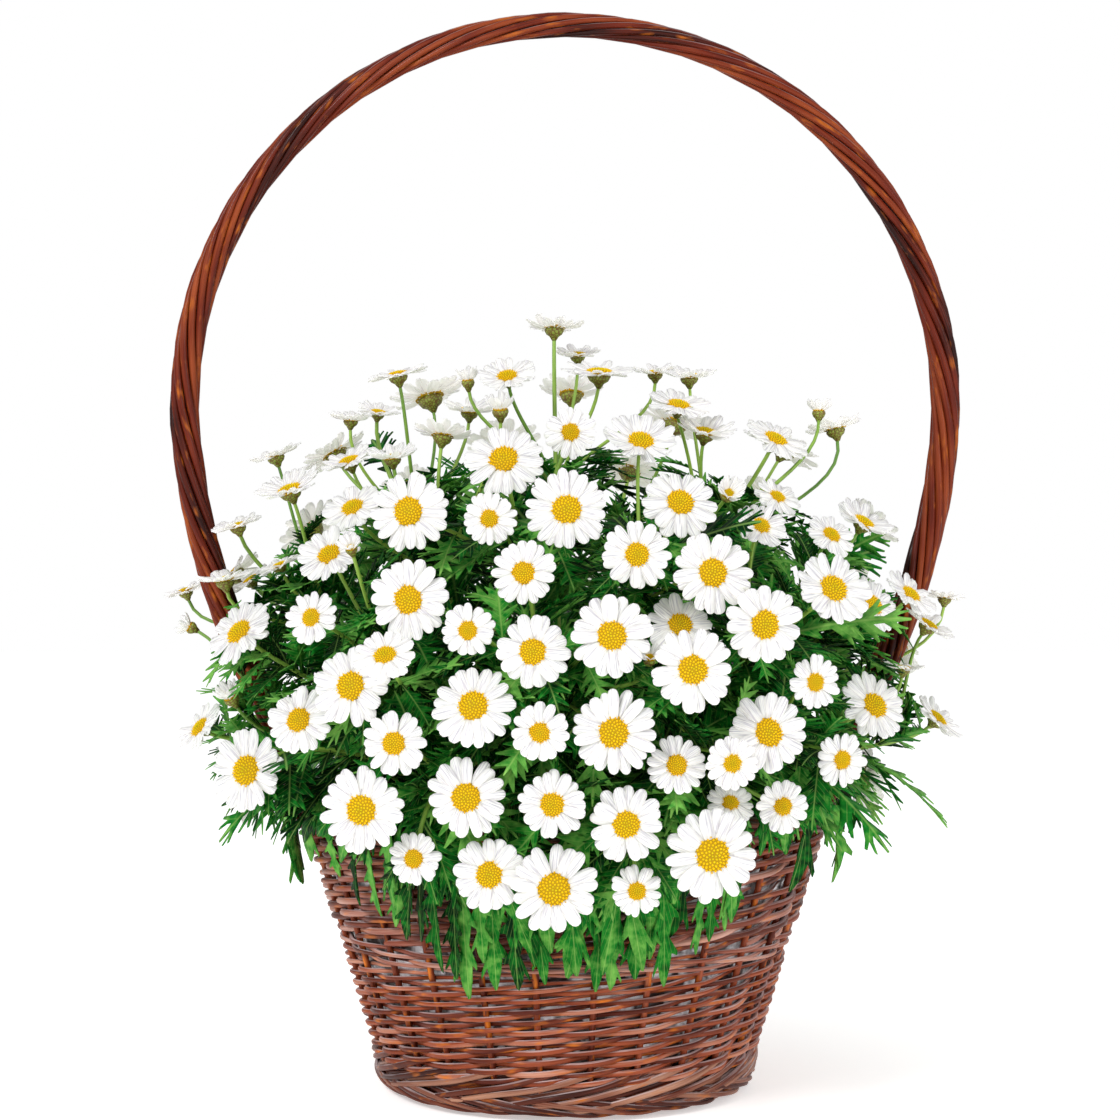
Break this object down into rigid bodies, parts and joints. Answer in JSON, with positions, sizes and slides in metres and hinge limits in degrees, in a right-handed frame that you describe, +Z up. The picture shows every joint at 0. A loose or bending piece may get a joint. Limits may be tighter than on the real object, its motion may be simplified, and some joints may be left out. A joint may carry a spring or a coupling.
{
  "type": "planted flower basket",
  "caption": "Round flared wicker basket with a tall twisted hoop handle, planted with a dome of white daisies over finely cut leaves; stands on its foot or is carried by the hoop.",
  "frame": {"origin": "centre of the foot border, on the surface that the basket stands on", "axes": "+Z up along the basket's axis, the handle's hoop stands in the XZ plane, the side seen in the picture faces -Y"},
  "size_m": [0.4516, 0.4236, 0.5926],
  "materials": {
    "handle_willow": "satin, boiled and oiled willow",
    "siding_willow": "satin, brown willow rods",
    "waling_willow": "satin, stout brown willow rods",
    "border_willow": "satin, brown willow rods",
    "base_willow": "matt, grey-brown willow",
    "liner_film": "pale planting film",
    "compost": "matt, moist compost",
    "daisy": "living leaf, stem and petal"
  },
  "bodies": {
    "root": {"basket_base": "base_willow", "foot_border": "border_willow", "siding": "siding_willow", "waling": "waling_willow", "upper_siding": "siding_willow", "rim_border": "border_willow", "handle": "handle_willow", "liner": "liner_film", "soil": "compost", "spray_01": "daisy", "spray_02": "daisy", "spray_03": "daisy", "spray_04": "daisy", "spray_05": "daisy", "spray_06": "daisy", "spray_07": "daisy", "spray_08": "daisy", "spray_09": "daisy", "spray_10": "daisy", "spray_11": "daisy", "spray_12": "daisy", "spray_13": "daisy", "spray_14": "daisy", "spray_15": "daisy", "spray_16": "daisy", "spray_17": "daisy", "spray_18": "daisy", "spray_19": "daisy", "spray_20": "daisy", "spray_21": "daisy", "spray_22": "daisy", "spray_23": "daisy", "spray_24": "daisy", "spray_25": "daisy", "spray_26": "daisy", "spray_27": "daisy", "spray_28": "daisy", "spray_29": "daisy", "spray_30": "daisy", "spray_31": "daisy", "spray_32": "daisy", "spray_33": "daisy", "spray_34": "daisy", "spray_35": "daisy", "spray_36": "daisy"}
  },
  "joints": []
}
